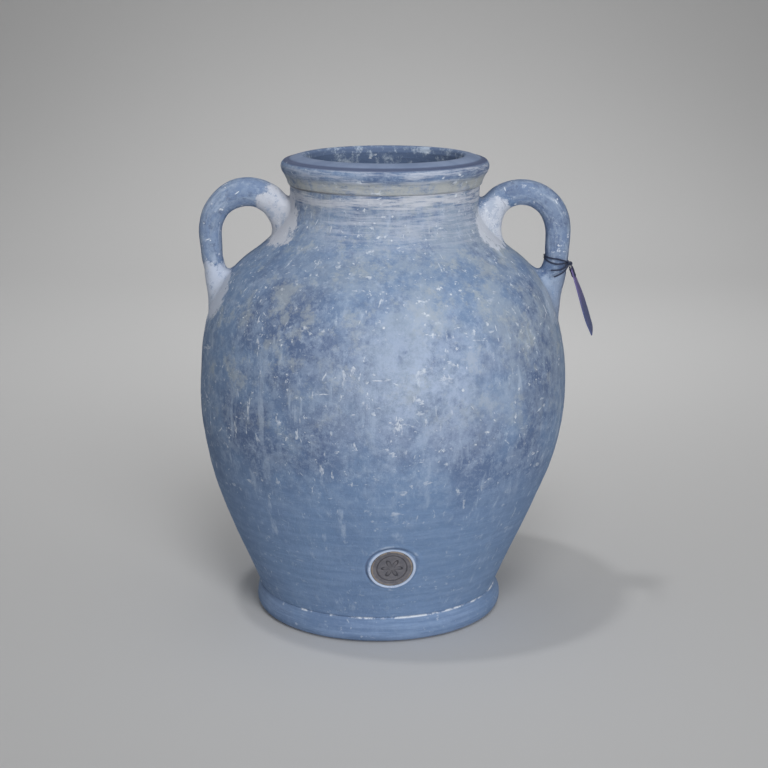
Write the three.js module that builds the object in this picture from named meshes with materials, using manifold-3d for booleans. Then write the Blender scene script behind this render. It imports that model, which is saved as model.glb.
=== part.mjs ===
// A two-handled jar with a heavy collar, a foot ring, a pressed seal and a hang tag on one handle.
// Millimetres, +Z up. The origin is on the floor under the middle of the jar. The handles lie along X,
// the seal faces -Y, and the tag hangs from the handle on the +X side.
import * as THREE from "three";
import { mergeVertices } from "three/addons/utils/BufferGeometryUtils.js";
import Module from "manifold-3d";

const wasm = await Module();
wasm.setup();

// ---------------------------------------------------------------- driving dimensions

const clearance = 0.3; // between pieces that touch
const height = 400; // floor to the top of the collar
const wall = 12; // thickness of the thrown shell
const facets = 48; // round the jar
const lean = 0.019; // the jar leans to +X by this share of its height, about the level of the handles

const foot = { height: 22, radius: 108.5, contactRadius: 102, topRadius: 105, innerRadius: 84 };
const footRound = { lowInset: 1.4, highInset: 1 }; // below and above its widest level
const base = { recess: 4, thickness: 13, cornerHeight: 20, cornerReach: 32 };
const waistRadius = 104.3; // where the shell rises out of the foot ring
const waistFlare = { angle: THREE.MathUtils.degToRad(21), pull: 55.6 };
const belly = { radius: 158.8, height: 196.6, pullDown: 63, pullUp: 49.3 };
const shoulder = { radius: 115.8, drop: 60.6, pullDown: 41, pullUp: 13.5 };
const shoulderSlope = THREE.MathUtils.degToRad(54);
const neck = { radius: 80.7, straight: 15, pull: 19 };
const collar = { height: 25, radius: 88.5, edgeStep: 1.4, noseDrop: 10, mouthRadius: 66.5 };
const collarFace = { hollow: 1.6, pull: 5.5, topInset: 1.6, topDrop: 6 }; // from the sharp edge up to the nose
const crown = { inset: 4.5, drop: 3.2, pull: 7.5, lipRound: 3 }; // from the nose over to the mouth

const coil = { width: 22, depth: 23, sides: 14, steps: 20 }; // section of a handle
const neckRoot = { standOff: 18.3, drop: 12.5, rise: THREE.MathUtils.degToRad(35), pull: 24 };
const handleSide = { bulge: 3, drop: 42, pullUp: 30, pullDown: 11 };
const shoulderRoot = { standOff: 16, drop: 14.4, lean: THREE.MathUtils.degToRad(12), pull: 10 };
const neckLuting = { standOff: 3.5, drop: 27, halfWidth: 15, halfHeight: 20, dip: 3 };
const neckLutingSlope = THREE.MathUtils.degToRad(30);
const shoulderLuting = { length: 38, inset: 4, halfWidth: 5, halfThickness: 4, dip: 3.5 };

const seal = { radius: 17.25, thickness: 3, sunk: 0.5, height: 73.6 };
const sealFace = { rimWidth: 2.2, relief: 0.6, bossRadius: 5 };
const sealTurn = THREE.MathUtils.degToRad(5.2); // round the jar, from the front towards +X
const sealTilt = THREE.MathUtils.degToRad(16); // its face looks this far below the horizontal
const bezel = { width: 5.75, lipWidth: 3.15, lipHeight: 1.2, round: 0.6 }; // the clay lip round the disc

const string = { diameter: 1.3, sides: 8 };
const wrap = { turns: 2, pitch: 4, rise: 9.5, steps: 48 }; // rise: above the shoulder end of the handle
const wrapGap = THREE.MathUtils.degToRad(20); // the turns stop this far short of the knot
const knot = { radius: 2.6, angle: THREE.MathUtils.degToRad(42) }; // from straight out towards the front
const card = { width: 52, length: 55, thickness: 1, taper: 44, topWidth: 13, holeRadius: 2.3 };
const tagLean = THREE.MathUtils.degToRad(21.5); // out from the vertical
const tagTwist = THREE.MathUtils.degToRad(6); // its far edge stands out from the jar
const cardDrop = 5; // from the knot's centre to the card's top edge
const strand = { start: 1.1, spread: 2.6, slack: 0.2 }; // the loop from the knot through the card's hole
const holeDrop = 8; // from the card's top edge to its hole's centre

// ---------------------------------------------------------------- materials

const clay = new THREE.MeshStandardMaterial({ color: 0x6d84a8, roughness: 0.92, metalness: 0 });
const collarClay = new THREE.MeshStandardMaterial({ color: 0x5a6c90, roughness: 0.85, metalness: 0 });
const slip = new THREE.MeshStandardMaterial({ color: 0xb9bccb, roughness: 0.95, metalness: 0 });
const sealMetal = new THREE.MeshStandardMaterial({ color: 0x6b6763, roughness: 0.6, metalness: 0.5 });
const waxedString = new THREE.MeshStandardMaterial({ color: 0x232b42, roughness: 0.7, metalness: 0 });
const cardStock = new THREE.MeshStandardMaterial({ color: 0x414a6c, roughness: 0.85, metalness: 0 });

// ---------------------------------------------------------------- helpers

const point = (r, z) => new THREE.Vector2(r, z);
const inPlane = (x, z) => new THREE.Vector3(x, 0, z);

// The closed solid that a geometry's faces bound.
function toSolid(geometry) {
  const bare = geometry.clone();
  bare.deleteAttribute("normal");
  bare.deleteAttribute("uv");
  const merged = mergeVertices(bare);
  const index = merged.index.array;
  const triangles = [];
  for (let i = 0; i < index.length; i += 3) {
    const [a, b, c] = [index[i], index[i + 1], index[i + 2]];
    if (a !== b && b !== c && c !== a) triangles.push(a, b, c);
  }
  const vertProperties = new Float32Array(merged.attributes.position.array);
  const triVerts = new Uint32Array(triangles);
  return new wasm.Manifold(new wasm.Mesh({ numProp: 3, vertProperties, triVerts }));
}

function toGeometry(solid) {
  const mesh = solid.getMesh();
  const geometry = new THREE.BufferGeometry();
  geometry.setAttribute("position", new THREE.BufferAttribute(mesh.vertProperties, 3));
  geometry.setIndex(new THREE.BufferAttribute(mesh.triVerts, 1));
  geometry.computeVertexNormals();
  return geometry;
}

// A profile of (radius, height) points turned about the Z axis. It runs up the outside.
function turned(profile, segments = facets) {
  const geometry = new THREE.LatheGeometry(profile, segments);
  geometry.rotateX(Math.PI / 2);
  return geometry;
}

// A round or oval bar along a curve, its ends square to it.
function bar(curve, steps, halfDepth, halfWidth, sides) {
  const section = new THREE.Shape().absellipse(0, 0, halfDepth, halfWidth, 0, 2 * Math.PI);
  const curveSegments = sides / 2; // an ellipse is drawn with two sides for each
  return new THREE.ExtrudeGeometry(section, { extrudePath: curve, steps, curveSegments });
}

// A tapering bar: at t from 0 to 1, place(t) gives its centre and its two half-width vectors.
function tapered(place, steps = 5, sides = 18) {
  const geometry = new THREE.CylinderGeometry(1, 1, 1, sides, steps);
  const position = geometry.attributes.position;
  for (let i = 0; i < position.count; i++) {
    const { centre, across, along } = place(position.getY(i) + 0.5);
    const vertex = centre.clone();
    vertex.addScaledVector(across, position.getX(i));
    vertex.addScaledVector(along, position.getZ(i));
    position.setXYZ(i, vertex.x, vertex.y, vertex.z);
  }
  return geometry;
}

function addMesh(parent, name, geometry, material) {
  const mesh = new THREE.Mesh(geometry, material);
  mesh.name = name;
  parent.add(mesh);
}

// ---------------------------------------------------------------- the jar's outline

const neckTop = height - collar.height;
const shoulderHeight = neckTop - shoulder.drop;

// The outside of the shell from the foot ring to the collar, as one smooth line.
function outline() {
  const flare = point(Math.sin(waistFlare.angle), Math.cos(waistFlare.angle)).multiplyScalar(waistFlare.pull);
  const slope = point(-Math.sin(shoulderSlope), Math.cos(shoulderSlope));
  const path = new THREE.Path();
  path.moveTo(waistRadius, foot.height);
  path.bezierCurveTo(
    waistRadius + flare.x,
    foot.height + flare.y,
    belly.radius,
    belly.height - belly.pullDown,
    belly.radius,
    belly.height,
  );
  path.bezierCurveTo(
    belly.radius,
    belly.height + belly.pullUp,
    shoulder.radius - shoulder.pullDown * slope.x,
    shoulderHeight - shoulder.pullDown * slope.y,
    shoulder.radius,
    shoulderHeight,
  );
  const neckStart = neckTop - neck.straight;
  path.bezierCurveTo(
    shoulder.radius + shoulder.pullUp * slope.x,
    shoulderHeight + shoulder.pullUp * slope.y,
    neck.radius,
    neckStart - neck.pull,
    neck.radius,
    neckStart,
  );
  path.lineTo(neck.radius, neckTop);
  return path;
}

const wallLine = outline();

// The line moved sideways: out of the jar by a positive distance, into it by a negative one.
function offsetLine(divisions, distance) {
  const line = wallLine.getPoints(divisions);
  return line.map((here, i) => {
    const along = line[Math.min(i + 1, line.length - 1)].clone().sub(line[Math.max(i - 1, 0)]).normalize();
    return point(here.x + along.y * distance, here.y - along.x * distance);
  });
}

const fineLine = wallLine.getPoints(60);

function radiusAt(z) {
  const i = fineLine.findIndex((p) => p.y >= z);
  const [low, high] = [fineLine[i - 1], fineLine[i]];
  return THREE.MathUtils.mapLinear(z, low.y, high.y, low.x, high.x);
}

// The shell's outside grown by the clearance and filled, which trims what is luted onto it.
const jarSpace = toSolid(
  turned([
    point(0, foot.height - clearance),
    ...offsetLine(7, clearance),
    point(neck.radius + clearance, height),
    point(0, height),
  ]),
);

// ---------------------------------------------------------------- foot ring, shell and collar

function footRing() {
  const bulge = new THREE.SplineCurve([
    point(foot.contactRadius, 0),
    point(foot.radius - footRound.lowInset, foot.height * 0.15),
    point(foot.radius, foot.height * 0.42),
    point(foot.radius - footRound.highInset, foot.height * 0.7),
    point(foot.topRadius, foot.height),
  ]);
  const start = point(foot.innerRadius, 0);
  return turned([start, ...bulge.getPoints(8), point(foot.innerRadius, foot.height), start.clone()]);
}

const sealRadiusFromAxis = radiusAt(seal.height);
const bezelRadius = seal.radius + bezel.width;
const sealPlace = new THREE.Matrix4()
  .makeRotationZ(sealTurn)
  .multiply(new THREE.Matrix4().makeTranslation(0, -sealRadiusFromAxis, seal.height))
  .multiply(new THREE.Matrix4().makeRotationX(Math.PI / 2 + sealTilt));
const sealBack = -(seal.sunk + seal.thickness);

function sealPocket() {
  const radius = bezelRadius + clearance;
  const depth = 40; // well past the wall's outside
  const cutter = new THREE.CylinderGeometry(radius, radius, depth, 40);
  cutter.rotateX(Math.PI / 2);
  cutter.translate(0, 0, depth / 2 + sealBack - clearance);
  cutter.applyMatrix4(sealPlace);
  return toSolid(cutter);
}

function shell() {
  const outside = offsetLine(7, 0);
  outside[0].y = foot.height + clearance;
  const inside = offsetLine(4, -wall);
  const floor = base.recess + base.thickness;
  inside.pop();
  const inner = inside.filter((p) => p.y > floor + base.cornerHeight).reverse();
  const corner = inner[inner.length - 1].x;
  const profile = [
    point(0, base.recess),
    point(foot.innerRadius - clearance, base.recess),
    point(foot.innerRadius - clearance, foot.height + clearance),
    ...outside,
    point(neck.radius - wall, neckTop),
    ...inner,
    point(corner - base.cornerReach / 2, floor + base.cornerHeight / 5),
    point(corner - base.cornerReach, floor),
    point(0, floor),
  ];
  return toGeometry(toSolid(turned(profile)).subtract(sealPocket()));
}

function rimCollar() {
  const bottom = neckTop + clearance;
  const bore = neck.radius - wall;
  const edge = neck.radius + collar.edgeStep;
  const nose = height - collar.noseDrop;
  const faceTop = point(collar.radius - collarFace.topInset, nose - collarFace.topDrop);
  const crownEdge = point(collar.radius - crown.inset, height - crown.drop);
  const mouth = collar.mouthRadius;
  const path = new THREE.Path();
  path.moveTo(bore, bottom);
  path.lineTo(edge, bottom);
  path.quadraticCurveTo(edge + collarFace.hollow, bottom + collarFace.pull, faceTop.x, faceTop.y);
  path.quadraticCurveTo(collar.radius, nose - collarFace.topDrop / 2, collar.radius, nose);
  path.quadraticCurveTo(collar.radius, crownEdge.y, crownEdge.x, crownEdge.y);
  path.quadraticCurveTo(mouth + crown.pull, height, mouth + crown.lipRound, height);
  path.quadraticCurveTo(mouth, height, mouth, height - crown.lipRound);
  path.lineTo(bore, bottom);
  return turned(path.getPoints(3));
}

// ---------------------------------------------------------------- handles and their luting

const neckEnd = inPlane(neck.radius + neckRoot.standOff, neckTop - neckRoot.drop);
const shoulderEndHeight = shoulderHeight - shoulderRoot.drop;
const shoulderEnd = inPlane(radiusAt(shoulderEndHeight) + shoulderRoot.standOff, shoulderEndHeight);

// The handle's middle line: out of the neck, over the top, and down to the shoulder.
function handleLine() {
  const side = inPlane(shoulderEnd.x + handleSide.bulge, neckTop - handleSide.drop);
  const rise = inPlane(Math.cos(neckRoot.rise), Math.sin(neckRoot.rise)).multiplyScalar(neckRoot.pull);
  const leanOut = inPlane(Math.sin(shoulderRoot.lean), Math.cos(shoulderRoot.lean));
  const sideTop = inPlane(side.x, side.z + handleSide.pullUp);
  const sideBottom = inPlane(side.x, side.z - handleSide.pullDown);
  const lowPull = shoulderEnd.clone().addScaledVector(leanOut, shoulderRoot.pull);
  const line = new THREE.CurvePath();
  line.add(new THREE.CubicBezierCurve3(neckEnd, neckEnd.clone().add(rise), sideTop, side));
  line.add(new THREE.CubicBezierCurve3(side, sideBottom, lowPull, shoulderEnd));
  return line;
}

const handleCentre = handleLine();

// Unit vectors at a share of the handle's length: along it, and square to it away from the jar.
function handleFrame(share) {
  const along = handleCentre.getTangentAt(share);
  return { along, out: inPlane(-along.z, along.x) };
}

function handle() {
  return bar(handleCentre, coil.steps, coil.depth / 2, coil.width / 2, coil.sides);
}

// A web that starts with the coil's own section and ends, sagging by a dip, inside the jar's wall.
function lutingBetween(start, end, dip, endSize, endDirection, startDirection) {
  const middle = start.clone().lerp(end, 0.5).add(dip);
  const line = new THREE.QuadraticBezierCurve3(start, middle, end);
  const acrossDirection = end.clone().sub(start).cross(startDirection).normalize();
  const web = tapered((t) => {
    const halfDepth = THREE.MathUtils.lerp(coil.depth / 2, endSize.across, t);
    const along = startDirection.clone().multiplyScalar((coil.width / 2) * (1 - t));
    along.addScaledVector(endDirection, endSize.along * t);
    return { centre: line.getPoint(t), across: acrossDirection.clone().multiplyScalar(halfDepth), along };
  });
  return toGeometry(toSolid(web).subtract(jarSpace));
}

function neckLutingGeometry() {
  const { along, out } = handleFrame(0);
  const start = neckEnd.clone().addScaledVector(along, -clearance);
  const end = inPlane(neck.radius + neckLuting.standOff, neckTop - neckLuting.drop);
  const size = { across: neckLuting.halfWidth, along: neckLuting.halfHeight };
  const upTheWall = inPlane(-Math.sin(neckLutingSlope), Math.cos(neckLutingSlope));
  return lutingBetween(start, end, inPlane(0, -neckLuting.dip), size, upTheWall, out);
}

function shoulderLutingGeometry() {
  const { along, out } = handleFrame(1);
  const start = shoulderEnd.clone().addScaledVector(along, clearance);
  const endHeight = shoulderEndHeight - shoulderLuting.length;
  const end = inPlane(radiusAt(endHeight) - shoulderLuting.inset, endHeight);
  const size = { across: shoulderLuting.halfWidth, along: shoulderLuting.halfThickness };
  return lutingBetween(start, end, inPlane(-shoulderLuting.dip, 0), size, inPlane(1, 0), out);
}

// ---------------------------------------------------------------- seal

function sealDisc() {
  const top = -seal.sunk;
  const low = top - sealFace.relief;
  const profile = [
    point(0, sealBack),
    point(seal.radius, sealBack),
    point(seal.radius, top),
    point(seal.radius - sealFace.rimWidth, top),
    point(seal.radius - sealFace.rimWidth, low),
    point(sealFace.bossRadius, low),
    point(sealFace.bossRadius, top),
    point(0, top),
  ];
  return turned(profile, 32);
}

function sealBezel() {
  const inner = seal.radius + clearance;
  const start = point(inner, sealBack);
  const lip = new THREE.QuadraticBezierCurve(
    point(bezelRadius, sealBack),
    point(bezelRadius - bezel.round, bezel.lipHeight),
    point(seal.radius + bezel.lipWidth, bezel.lipHeight),
  );
  return turned([start, ...lip.getPoints(4), point(inner, bezel.lipHeight - bezel.round), start.clone()], 32);
}

// ---------------------------------------------------------------- string, knot and tag

// The string's turns lie square to the handle, just above its shoulder end.
const wrapShare = 1 - wrap.rise / handleCentre.getLength();
const wrapCentre = handleCentre.getPointAt(wrapShare);
const wrapFrame = handleFrame(wrapShare);
const towardsFront = new THREE.Vector3(0, -1, 0);
const stringRadius = string.diameter / 2;
const wrapLift = clearance + stringRadius;

// A place round the handle: an angle from straight out towards the front, a lift off the clay, a slide down.
function roundHandle(angle, lift, slide) {
  const place = wrapCentre.clone();
  place.addScaledVector(wrapFrame.out, (coil.width / 2 + lift) * Math.cos(angle));
  place.addScaledVector(towardsFront, (coil.depth / 2 + lift) * Math.sin(angle));
  return place.addScaledVector(wrapFrame.along, slide);
}

const knotCentre = roundHandle(knot.angle, wrapLift + stringRadius + clearance + knot.radius, 0);

function tube(points, steps) {
  const line = new THREE.CatmullRomCurve3(points);
  return bar(line, steps, stringRadius, stringRadius, string.sides);
}

function stringWrap() {
  const turnAngle = wrap.turns * 2 * Math.PI;
  const points = [];
  for (let i = 0; i <= wrap.steps; i++) {
    const angle = THREE.MathUtils.lerp(wrapGap, turnAngle - wrapGap, i / wrap.steps);
    const slide = wrap.pitch * (angle / (2 * Math.PI) - wrap.turns / 2);
    points.push(roundHandle(knot.angle + angle, wrapLift, slide));
  }
  return tube(points, wrap.steps);
}

// The cut ends, from the knot across the front of the handle, as offsets from the knot's centre.
const tailRoutes = [
  [[-2.6, -1.4, -1.4], [-5, -3.6, -3.4], [-8.5, -5.1, -4.6], [-12.5, -5.6, -4.9], [-16.4, -5.4, -5]],
  [[-1.6, -1.9, -2.2], [-4.2, -4.6, -5.4], [-7.2, -6.6, -7.4], [-10.4, -7.8, -8.9], [-13.6, -8.4, -10.2]],
];

function stringTail(route) {
  return tube(route.map((offset) => new THREE.Vector3(...offset).add(knotCentre)), 10);
}

// The loop is given as (side, down): across the card's face, and down from the knot's centre.
function tagStrand() {
  const hole = cardDrop + holeDrop;
  const leg = card.thickness / 2 + 2 * clearance + stringRadius + strand.slack;
  const bend = hole - card.holeRadius + clearance + stringRadius; // where it turns through the hole
  const half = [
    [strand.start, knot.radius + 2 * clearance],
    [leg, knot.radius + strand.spread],
    [leg, bend - 2.4],
    [leg - 0.15, bend - 0.2],
    [leg - 0.9, bend + 0.6],
  ];
  const otherHalf = half.map(([side, down]) => [-side, down]).reverse();
  const route = [...half, [0, bend + 0.8], ...otherHalf];
  return tube(route.map(([side, down]) => new THREE.Vector3(side, 0, -down)), 22);
}

// The card stands in the plane across X, its top edge at zero, and widens down to its full width.
function tagCard() {
  const [w, l] = [card.width / 2, card.length];
  const shape = new THREE.Shape();
  shape.moveTo(-card.topWidth / 2, 0);
  shape.lineTo(-w, -card.taper);
  shape.lineTo(-w, -l);
  shape.lineTo(w, -l);
  shape.lineTo(w, -card.taper);
  shape.lineTo(card.topWidth / 2, 0);
  shape.closePath();
  const hole = new THREE.Path();
  hole.absarc(0, -holeDrop, card.holeRadius, 0, 2 * Math.PI, true);
  shape.holes.push(hole);
  const options = { depth: card.thickness, bevelEnabled: false, curveSegments: 20 };
  const geometry = new THREE.ExtrudeGeometry(shape, options);
  geometry.translate(0, 0, -card.thickness / 2);
  geometry.rotateX(Math.PI / 2);
  geometry.rotateZ(Math.PI / 2);
  return geometry;
}

// ---------------------------------------------------------------- assembly

// Every height moves sideways by its share of the lean. The handles' outermost level stays centred.
const levelHeight = neckTop - handleSide.drop;
const jar = new THREE.Group();
jar.matrixAutoUpdate = false;
jar.matrix.makeShear(0, 0, 0, 0, lean, 0);
jar.matrix.setPosition(-lean * levelHeight, 0, 0);
addMesh(jar, "foot_ring", footRing(), clay);
addMesh(jar, "vessel_body", shell(), clay);
addMesh(jar, "rim_collar", rimCollar(), collarClay);

// The left handle is the right one turned half way round the jar.
for (const [side, turn] of [["right", 0], ["left", Math.PI]]) {
  const group = new THREE.Group();
  group.rotation.z = turn;
  addMesh(group, `handle_${side}`, handle(), clay);
  addMesh(group, `handle_${side}_neck_luting`, neckLutingGeometry(), slip);
  addMesh(group, `handle_${side}_shoulder_luting`, shoulderLutingGeometry(), slip);
  jar.add(group);
}

const sealGroup = new THREE.Group();
sealGroup.applyMatrix4(sealPlace);
addMesh(sealGroup, "seal_disc", sealDisc(), sealMetal);
addMesh(sealGroup, "seal_bezel", sealBezel(), slip);
jar.add(sealGroup);

addMesh(jar, "tag_string_wrap", stringWrap(), waxedString);
tailRoutes.forEach((route, i) => addMesh(jar, `tag_string_tail_${i + 1}`, stringTail(route), waxedString));

const tagGroup = new THREE.Group();
tagGroup.position.copy(knotCentre);
tagGroup.rotation.set(0, -tagLean, 0);
const twistGroup = new THREE.Group();
twistGroup.rotation.z = -tagTwist;
addMesh(tagGroup, "tag_string_knot", new THREE.SphereGeometry(knot.radius, 14, 10), waxedString);
addMesh(twistGroup, "tag_strand", tagStrand(), waxedString);
const cardGroup = new THREE.Group();
cardGroup.position.z = -cardDrop;
addMesh(cardGroup, "tag_card", tagCard(), cardStock);
twistGroup.add(cardGroup);
tagGroup.add(twistGroup);
jar.add(tagGroup);

const model = new THREE.Group();
model.add(jar);

export default model;
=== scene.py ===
from math import atan2, ceil, cos, exp, hypot, pi, radians, sin

import bmesh
import bpy
from mathutils import Matrix, Vector, geometry, noise
from mathutils.bvhtree import BVHTree


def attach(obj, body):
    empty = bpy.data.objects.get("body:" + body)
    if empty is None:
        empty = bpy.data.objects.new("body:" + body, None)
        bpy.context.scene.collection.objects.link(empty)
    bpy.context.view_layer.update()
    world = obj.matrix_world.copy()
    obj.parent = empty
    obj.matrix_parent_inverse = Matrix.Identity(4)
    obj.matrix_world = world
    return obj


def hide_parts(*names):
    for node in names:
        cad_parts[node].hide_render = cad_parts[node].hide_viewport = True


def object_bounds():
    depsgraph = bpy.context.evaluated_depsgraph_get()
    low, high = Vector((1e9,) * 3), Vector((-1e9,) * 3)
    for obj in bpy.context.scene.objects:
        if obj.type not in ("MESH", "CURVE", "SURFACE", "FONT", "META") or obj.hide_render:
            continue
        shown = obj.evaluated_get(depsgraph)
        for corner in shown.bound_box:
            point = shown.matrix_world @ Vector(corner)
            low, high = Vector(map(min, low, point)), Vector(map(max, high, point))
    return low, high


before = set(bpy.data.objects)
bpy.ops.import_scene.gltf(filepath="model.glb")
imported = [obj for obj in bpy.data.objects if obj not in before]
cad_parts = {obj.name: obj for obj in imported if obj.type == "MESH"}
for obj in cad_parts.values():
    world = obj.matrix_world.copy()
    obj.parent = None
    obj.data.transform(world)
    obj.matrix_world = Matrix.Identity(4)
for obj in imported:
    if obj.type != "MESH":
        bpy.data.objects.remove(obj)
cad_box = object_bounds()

MM = 0.001
HEIGHT = cad_box[1].z

# ---- sizes

WALL = 12 * MM
COLLAR_HEIGHT = 25 * MM
NECK_TOP = HEIGHT - COLLAR_HEIGHT
NECK_RADIUS = 80.7 * MM
SHOULDER_HEIGHT = NECK_TOP - 60.6 * MM
SHOULDER_RADIUS = 115.8 * MM
BELLY_RADIUS = 158.8 * MM
BELLY_HEIGHT = 196.6 * MM
WAIST_RADIUS = 104.3 * MM
FOOT_HEIGHT = 22 * MM
FOOT_INNER_RADIUS = 84 * MM
LEAN = 0.019  # the jar leans to +X by this share of its height
LEVEL_HEIGHT = NECK_TOP - 42 * MM  # what is at this height stays centred

SEAL_RADIUS = 17.25 * MM
SEAL_HEIGHT = 73.6 * MM
SEAL_TURN = radians(5.2)  # round the jar, from the front towards +X
SEAL_TILT = radians(16)  # its face looks this far below the horizontal
SEAL_THICKNESS = 3 * MM
SEAL_SUNK = 0.5 * MM

STRING_DIAMETER = 1.3 * MM
STRING_RADIUS = STRING_DIAMETER / 2
TAG_LEAN = radians(21.5)
TAG_TWIST = radians(6)
CARD_DROP = 5 * MM  # from the knot's centre to the card's top edge
HOLE_DROP = 8 * MM  # from the card's top edge to its hole's centre


# ---- camera


CAMERA_PLACE = (0, -1.45, 0.5591)
CAMERA_DOWN = radians(13.94)  # how far below the horizontal it looks
LENS = 79.95  # in millimetres, like the sensor's width
SENSOR_WIDTH = 36


def add_object(name, data):
    made = bpy.data.objects.new(name, data)
    bpy.context.scene.collection.objects.link(made)
    return made


def make_camera():
    """A little above the rim, looking slightly down at the jar's front."""
    data = bpy.data.cameras.new("camera")
    data.lens = LENS
    data.sensor_width = SENSOR_WIDTH
    camera = add_object("camera", data)
    camera.location = CAMERA_PLACE
    camera.rotation_euler = (pi / 2 - CAMERA_DOWN, 0, 0)
    bpy.context.scene.camera = camera


make_camera()

# ---- helpers


def leaned(place):
    """Where a point of the upright jar is once the jar leans."""
    return Vector((place.x + LEAN * (place.z - LEVEL_HEIGHT), place.y, place.z))


LEAN_MATRIX = Matrix.Identity(4)
LEAN_MATRIX[0][2] = LEAN
LEAN_MATRIX[0][3] = -LEAN * LEVEL_HEIGHT


def smooth_step(low, high, value):
    share = min(max((value - low) / (high - low), 0), 1)
    return share * share * (3 - 2 * share)


def mix(a, b, share):
    return a + (b - a) * share


def mesh_object(shape, name, material, smooth=True):
    """Turns a bmesh into an object of one material."""
    mesh = bpy.data.meshes.new(name)
    shape.to_mesh(mesh)
    shape.free()
    for polygon in mesh.polygons:
        polygon.use_smooth = smooth
    mesh.materials.append(material)
    return add_object(name, mesh)


def finish_mesh(shape, name, material, body, node, smooth=True):
    """Turns a bmesh into a piece that rides on a body and stands for a CAD node."""
    piece = mesh_object(shape, name, material, smooth)
    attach(piece, body)
    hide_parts(node)


def spun(profile, segments, closed=True):
    """A profile in the XZ plane turned about the Z axis."""
    shape = bmesh.new()
    verts = [shape.verts.new(place) for place in profile]
    pairs = list(zip(verts, verts[1:] + verts[:1]))
    edges = [shape.edges.new(pair) for pair in (pairs if closed else pairs[:-1])]
    bmesh.ops.spin(
        shape,
        geom=verts + edges,
        cent=(0, 0, 0),
        axis=(0, 0, 1),
        angle=2 * pi,
        steps=segments,
        use_merge=True,
    )
    bmesh.ops.remove_doubles(shape, verts=shape.verts, dist=0.02 * MM)
    bmesh.ops.recalc_face_normals(shape, faces=shape.faces)
    return shape


def evenly(points, spacing):
    """A line of points with extra ones, so that none is further than a spacing from the next."""
    line = [points[0]]
    for start, end in zip(points, points[1:]):
        count = max(1, ceil((end - start).length / spacing))
        line += [start.lerp(end, i / count) for i in range(1, count + 1)]
    return line


def move(shape, matrix):
    bmesh.ops.transform(shape, matrix=matrix, verts=shape.verts)


def at(r, z):
    """A point of a profile: how far from the axis, and how high."""
    return Vector((r, 0, z))


def profile(rows, base=0.0):
    """Points of a profile from rows of radius and height over a base, in millimetres."""
    return [at(radius * MM, base + height * MM) for radius, height in rows]


def thrown(place):
    """How far a hand-thrown surface stands out from its true shape."""
    slow = noise.noise(place * 9) * 0.9
    hand = noise.noise(place * 34 + Vector((3, 7, 1))) * 0.3
    ridges = noise.noise(Vector((place.x * 2, place.y * 2, place.z * 130))) * 0.16
    grain = noise.fractal(place * 190, 0.6, 2.2, 3) * 0.07
    return (slow + hand + ridges + grain) * MM


def wobble(shape, strength=1, keep_below=None):
    """Moves a mesh's points in or out from the axis, as throwing leaves them."""
    for vert in shape.verts:
        if keep_below is not None and vert.co.z < keep_below:
            continue
        flat = Vector((vert.co.x, vert.co.y, 0))
        if flat.length > 5 * MM:
            vert.co += flat.normalized() * thrown(vert.co) * strength


# ---- the jar's outline

SHOULDER_SLOPE = radians(54)
WAIST_FLARE = radians(21)


def outline():
    """The outside of the shell, from the foot ring up to the collar."""
    waist = at(WAIST_RADIUS, FOOT_HEIGHT)
    belly = at(BELLY_RADIUS, BELLY_HEIGHT)
    shoulder = at(SHOULDER_RADIUS, SHOULDER_HEIGHT)
    neck = at(NECK_RADIUS, NECK_TOP - 15 * MM)
    flare = at(sin(WAIST_FLARE), cos(WAIST_FLARE)) * 55.6 * MM
    slope = at(-sin(SHOULDER_SLOPE), cos(SHOULDER_SLOPE))
    up = Vector((0, 0, 1))
    arcs = [
        (waist, waist + flare, belly - up * 63 * MM, belly, 90),
        (belly, belly + up * 49.3 * MM, shoulder - slope * 41 * MM, shoulder, 70),
        (shoulder, shoulder + slope * 13.5 * MM, neck - up * 19 * MM, neck, 26),
        (neck, neck, at(NECK_RADIUS, NECK_TOP), at(NECK_RADIUS, NECK_TOP), 8),
    ]
    line = [waist]
    for start, start_pull, end_pull, end, count in arcs:
        line += geometry.interpolate_bezier(start, start_pull, end_pull, end, count)[1:]
    return line


WALL_LINE = outline()


def radius_at(z):
    for low, high in zip(WALL_LINE, WALL_LINE[1:]):
        if low.z <= z <= high.z:
            return mix(low.x, high.x, (z - low.z) / max(high.z - low.z, 1e-9))
    return WALL_LINE[0].x if z < WALL_LINE[0].z else WALL_LINE[-1].x


def offset_line(distance):
    """The outline moved sideways: into the jar by a negative distance."""
    moved = []
    last = len(WALL_LINE) - 1
    for i, here in enumerate(WALL_LINE):
        along = (WALL_LINE[min(i + 1, last)] - WALL_LINE[max(i - 1, 0)]).normalized()
        moved.append(here + at(along.z, -along.x) * distance)
    return moved


def wall_place(azimuth, z, stand_off=0.0):
    """A point on the shell's outside, in the upright jar. Azimuth 0 is towards +X."""
    r = radius_at(z) + stand_off
    return Vector((r * cos(azimuth), r * sin(azimuth), z))


def wall_directions(azimuth, z):
    """Unit vectors on the shell's outside: sideways round the jar, and up the wall."""
    side = Vector((-sin(azimuth), cos(azimuth), 0))
    step = 2 * MM
    up = wall_place(azimuth, z + step) - wall_place(azimuth, z - step)
    return side, up.normalized()


# ---- materials


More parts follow.
